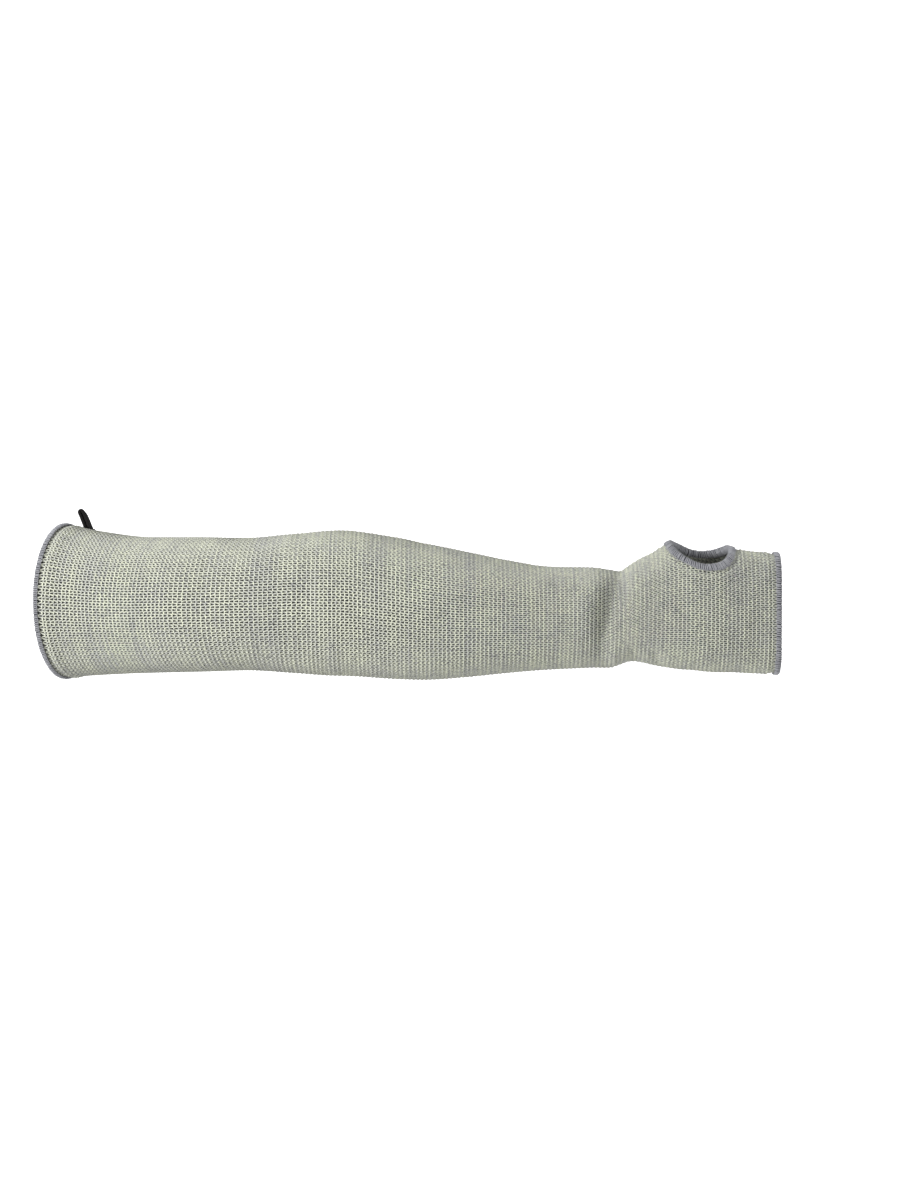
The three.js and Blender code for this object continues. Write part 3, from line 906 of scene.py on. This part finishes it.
def stitchTree():
    tree, given = newTree("edgeStitches", {
        "Object": ["Guide"],
        "Material": ["Material"],
        "Int": ["Threads", "Samples", "Sides", "Bake columns", "Seed"],
        "Float": ["From", "To", "Slant", "Step jitter", "Reach jitter", "Lift jitter", "Middle radius",
                  "End radius", "Arch"],
    })
    guide = wire(put(tree, "GeometryNodeObjectInfo", {"Object": given["Guide"]}), "Geometry")
    lines, sample, number = numberedLines(tree, given["Threads"], given["Samples"])
    share = sample / (given["Samples"] - 1)
    lines = storeOn(tree, lines, "threadShare", "FLOAT", "POINT", share)
    lines = storeOn(tree, lines, "threadNumber", "FLOAT", "POINT", number)
    seed = given["Seed"]
    early = chance(tree, 0.0, 1.0, number, seed) * given["Reach jitter"]
    late = chance(tree, 0.0, 1.0, number, seed + 1) * given["Reach jitter"]
    shift = chance(tree, -0.5, 0.5, number, seed + 2) * given["Step jitter"]
    lift = chance(tree, -0.5, 0.5, number, seed + 3) * given["Lift jitter"]
    start, end = given["From"] + early, given["To"] - late
    v = start + (end - start) * share
    u = (number + 0.5 + shift + (share - 0.5) * given["Slant"]) / given["Threads"]
    bow = (share * math.pi).via("SINE")
    outward = bow * given["Arch"] + bow * lift
    laid = wire(put(tree, "GeometryNodeSetPosition",
                    {"Geometry": lines, "Position": onGuide(tree, guide, u, v, outward)}))
    reach = stored(tree, "threadShare")
    rim = (reach * math.pi).via("SINE").via("POWER", 0.7)
    taper = between(tree, rim, 0.0, 0.25, 0.35, 1.0)
    radius = (given["End radius"] + (given["Middle radius"] - given["End radius"]) * rim) * taper
    tubes, turned = roundThreads(tree, laid, given["Sides"], radius)
    order = stored(tree, "threadNumber")
    rows = (given["Threads"] / given["Bake columns"]).via("CEIL")
    column = (order / rows).via("FLOOR")
    map = vectorOf(tree, (column + inset(reach, 0.03)) / given["Bake columns"],
                   (order - column * rows + inset(turned, 0.05)) / rows)
    tubes = storeOn(tree, tubes, "OFBake", "FLOAT2", "CORNER", map)
    twist = reach * 3.0 + turned + chance(tree, 0.0, 1.0, order, seed + 4)
    tubes = storeOn(tree, tubes, "twist", "FLOAT", "CORNER", twist)
    finishThreads(tree, tubes, given["Material"], ["threadShare", "threadNumber", "roundThread"])
    return tree


def makeEdge(which, tree):
    edge = edges[which]
    guide = edgeGuide(which)
    core = edgeCore(which)
    shared = {**wrapLook, "guide": guide, "material": threadStuff}
    wraps = grow(which + "_edge_wraps", tree, {
        **shared, "threads": edge["wraps"], "from": 0.0, "to": 1.0, "slant": edge["slant"]})
    needle = grow(which + "_edge_needle_line", tree, {
        **shared, **needleLook, "threads": edge["wraps"] // needleLook["wrapsEach"],
        "from": edge["needleAt"], "to": edge["needleAt"]})
    bpy.data.objects.remove(guide)
    return core, wraps, needle


stitches = stitchTree()
edgePieces = {which: makeEdge(which, stitches) for which in edges}
print("edges made")

# The pull tab: a black tape folded double, its two ends turned outwards as a foot and sewn down.
tab = {
    "width": 0.010,
    "thickness": 0.0023,
    "slit": 0.0007,
    "length": 0.0194,
    "foot": 0.009,
    "lean": math.radians(38),
    "root": 0.0034,
    "heel": 0.0017,
    "fromOpening": 0.0108,
    "behindTop": 0.020,
    "gap": 0.00035,
    "curl": 0.0016,
    "rings": 90,
    "sides": 28,
    "edgeRounding": 0.35,
    "faceRounding": 0.75,
}


def tabPlace():
    # the seat on the fabric, and the directions along the sleeve, out of the fabric and across
    nudge = 0.001
    arcs = np.array([-tab["behindTop"], -tab["behindTop"] - nudge])
    angles = angleAtArc(np.full(2, tab["fromOpening"]), arcs)
    seat = skin(tab["fromOpening"], angles[0], 0)
    along = skin(tab["fromOpening"] + nudge, angles[0], 0) - seat
    along /= np.linalg.norm(along)
    aside = skin(tab["fromOpening"], angles[1], 0) - seat
    outward = np.cross(along, aside)
    outward /= np.linalg.norm(outward)
    return seat + outward * tab["gap"], along, outward, np.cross(along, outward)


def rounded(points, times):
    for _ in range(times):
        early = points[:-1] * 0.75 + points[1:] * 0.25
        late = points[:-1] * 0.25 + points[1:] * 0.75
        cut = np.stack([early, late], axis=1).reshape(-1, points.shape[1])
        points = np.concatenate([points[:1], cut, points[-1:]])
    return points


def tapePath():
    # the tape's middle line as seen along its width: foot, up one side, round the fold, down, foot
    lean, half = tab["lean"], tab["thickness"] / 2
    side = (tab["thickness"] + tab["slit"]) / 2
    up = np.array([-math.sin(lean), math.cos(lean)])
    across = np.array([math.cos(lean), math.sin(lean)])
    foot, heel = np.array([0, half]), side + tab["heel"]
    fold = up * (tab["length"] - side - half)
    climb = [up * t for t in np.linspace(tab["root"], 0.9 * (tab["length"] - side - half), 8)]
    turns = np.linspace(0, math.pi, 13)
    loop = [fold + across * side * math.cos(a) + up * side * math.sin(a) for a in turns]
    outside = [foot + np.array([x, 0]) for x in np.linspace(tab["foot"] / 2, heel, 4)]
    inside = [foot - np.array([x, 0]) for x in np.linspace(heel, tab["foot"] / 2, 4)]
    corners = outside + [c + across * side for c in climb] + loop + [c - across * side for c in climb[::-1]]
    points = rounded(np.array(corners + inside), 3)
    lengths = np.concatenate([[0], np.cumsum(np.linalg.norm(np.diff(points, axis=0), axis=1))])
    evenly = np.linspace(0, lengths[-1], tab["rings"])
    smooth = np.stack([np.interp(evenly, lengths, points[:, k]) for k in range(2)], axis=1)
    height = np.clip(smooth[:, 1] / tab["length"], 0, 1)
    smooth[:, 0] -= tab["curl"] * height**2  # the loop curls a little towards the opening
    return smooth, evenly


def makeTab():
    path, lengths = tapePath()
    seat, along, outward, across = tabPlace()
    tangents = np.gradient(path, axis=0)
    tangents /= np.linalg.norm(tangents, axis=1, keepdims=True)
    sideways = np.stack([-tangents[:, 1], tangents[:, 0]], axis=1)
    turns = np.linspace(0, 2 * math.pi, tab["sides"] + 1)[:-1]
    wide = signedPower(np.cos(turns), tab["edgeRounding"]) * tab["width"] / 2
    thin = signedPower(np.sin(turns), tab["faceRounding"]) * tab["thickness"] / 2
    rings = []
    for spot, aside in zip(path, sideways):
        flat = spot[None, :] + thin[:, None] * aside[None, :]
        rings.append(seat + flat[:, :1] * along + flat[:, 1:] * outward + wide[:, None] * across)
    points = np.stack(rings)
    rows, columns = points.shape[:2]
    faces, row, column = gridQuads(rows, columns, (False, True), flipped=True)
    ends = [list(range(columns)), list(range((rows - 1) * columns, rows * columns))]
    sideUv = np.stack([row / (rows - 1), column / columns], axis=-1).reshape(-1, 2)
    endUv = np.zeros((2 * columns, 2))
    piece = meshOf("tab_tape", points, faces.tolist() + ends, np.concatenate([sideUv, endUv]))
    places = np.zeros((rows, columns, 3))
    places[..., 0] = lengths[:, None]
    places[..., 1] = wide[None, :]
    markOn(piece.data, "weave", places, "FLOAT_VECTOR")
    fixNormals(piece)
    piece.data.materials.append(tapeStuff)
    return piece


footStitches = {
    "threads": 6,
    "samples": 7,
    "sides": 6,
    "middleRadius": 0.00022,
    "endRadius": 0.00022,
    "from": 0.0,
    "to": 1.0,
    "slant": 0.25,
    "stepJitter": 0.1,
    "reachJitter": 0.08,
    "liftJitter": 0.0002,
    "bakeColumns": 1,
    "startAt": 0.0031,  # from the tab's middle
    "length": 0.0011,
    "high": 0.3,  # in radii, as is how deep the ends sink
    "sink": 3.0,
    "spread": 0.8,  # over this share of the tape's width
}


def makeFootStitches(side, tree):
    # a short row of stitches across one end of the tape
    seat, along, outward, across = tabPlace()
    u, v = np.linspace(-0.2, 1.2, 8), np.linspace(0, 1, 5)
    look = footStitches
    reach = side * (look["startAt"] + v * look["length"])
    high = tab["thickness"] + look["middleRadius"] * (look["high"] - look["sink"] * (2 * v - 1) ** 4)
    wide = (u - 0.5) * tab["width"] * look["spread"]
    points = (seat + wide[:, None, None] * across + reach[None, :, None] * along
              + high[None, :, None] * outward)
    guide = guideSheet("footGuide", points, u[:, None], v[None, :], 1)
    piece = grow("tab_foot_stitches_" + ("front" if side > 0 else "back"), tree, {
        **wrapLook, **look, "guide": guide, "material": tapeStuff})
    bpy.data.objects.remove(guide)
    return piece


tabPieces = [makeTab()] + [makeFootStitches(side, stitches) for side in (1, -1)]
print("tab made")

# What each piece stands for: each hangs on the root, and the solid it replaces is hidden.
for piece in yarnPieces + [knitGround]:
    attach(piece, "root")
    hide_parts("knit_sleeve")
edgeNodes = {"arm": "arm_opening_binding", "finger": "finger_opening_binding", "thumb": "thumb_hole_binding"}
for which, parts in edgePieces.items():
    for piece in parts:
        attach(piece, "root")
        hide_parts(edgeNodes[which])
for piece in tabPieces:
    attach(piece, "root")
    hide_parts("pull_tab")

# The room: one pale sheet that is floor and backdrop, soft lights, and the camera in front.
room = {
    "floor": -0.42,
    "back": 1.6,
    "front": -2.4,
    "wide": 6.0,
    "high": 2.6,
    "bend": 0.8,
    "colour": srgb(246, 246, 246),
    "shade": srgb(243, 243, 243),
    "sky": 0.39,
    "glow": 1.0,
}


def makeRoom():
    bend = np.linspace(0, math.pi / 2, 17)
    floor = room["floor"]
    line = [(room["front"], floor)]
    line += [(room["back"] - room["bend"] * (1 - math.sin(a)), floor + room["bend"] * (1 - math.cos(a)))
             for a in bend]
    line += [(room["back"], floor + room["high"])]
    points = np.array([[(x, y, z) for y, z in line] for x in (-room["wide"] / 2, room["wide"] / 2)])
    backdrop = meshOf("backdrop", points, gridQuads(*points.shape[:2])[0].tolist())
    material, tree, shader = newMaterial("paperBackdrop", roughness=0.95, specular=0.0)
    shader.inputs["Emission Color"].default_value = (1, 1, 1, 1)
    shader.inputs["Emission Strength"].default_value = room["glow"]
    place = objectPlace(tree)
    plug(shader.inputs["Base Color"], mixed(tree, noise(tree, place, 0.4), room["colour"], room["shade"]))
    backdrop.data.materials.append(material)
    backdrop.visible_diffuse = False
    backdrop.visible_glossy = False
    world = bpy.data.worlds.new("studio")
    world.use_nodes = True
    sky = world.node_tree.nodes["Background"].inputs
    sky["Color"].default_value = (1, 1, 1, 1)
    sky["Strength"].default_value = room["sky"]
    scene.world = world


lights = {
    "keyLight": {"at": (-1.3, -1.36, 0.42), "size": 0.45, "power": 34},
    "fillLight": {"at": (0.65, -1.8, -0.2), "size": 0.4, "power": 10.5},
}
lightAim = (0.25, -0.02, 0.0)


def makeLights():
    for name, light in lights.items():
        lamp = bpy.data.lights.new(name, "AREA")
        lamp.size = light["size"]
        lamp.energy = light["power"]
        holder = placed(name, lamp)
        holder.location = light["at"]
        holder.rotation_mode = "QUATERNION"
        holder.rotation_quaternion = (Vector(lightAim) - Vector(light["at"])).to_track_quat("-Z", "Y")


camera = {"at": (0.274, -1.690, 0.0007), "lens": 71.33, "sensor": 36}


def makeCamera():
    data = bpy.data.cameras.new("camera")
    data.sensor_fit = "VERTICAL"
    data.sensor_height = camera["sensor"]
    data.lens = camera["lens"]
    holder = placed("camera", data)
    holder.location = camera["at"]
    holder.rotation_euler = (math.radians(90), 0, 0)
    scene.camera = holder


makeRoom()
makeLights()
makeCamera()
scene.view_settings.view_transform = "Standard"
print("room made")
